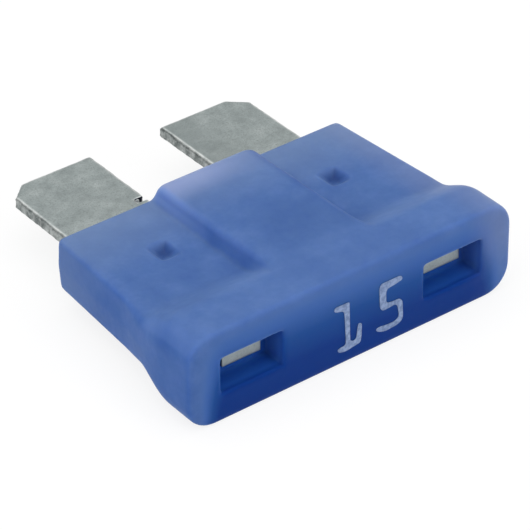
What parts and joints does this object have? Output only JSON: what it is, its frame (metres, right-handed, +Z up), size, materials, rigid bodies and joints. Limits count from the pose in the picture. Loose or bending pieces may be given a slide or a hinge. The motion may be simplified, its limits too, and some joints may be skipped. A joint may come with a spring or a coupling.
{
  "type": "automotive blade fuse",
  "caption": "Regular-size automotive blade fuse: a moulded translucent blue plastic housing with raised hub and probe windows around a stamped metal element with flat blades.",
  "frame": {"origin": "under the middle of the fuse, on the surface that it lies on", "axes": "+X across the head and both blades, +Y from the head towards the blade tips, +Z up through the thickness"},
  "size_m": [0.019, 0.0186, 0.0051],
  "materials": {
    "housing": "translucent blue moulding with a satin surface",
    "element": "satin zinc alloy strip with sheared edges"
  },
  "bodies": {
    "root": {"housing": "housing", "fuse_element": "element"}
  },
  "joints": []
}
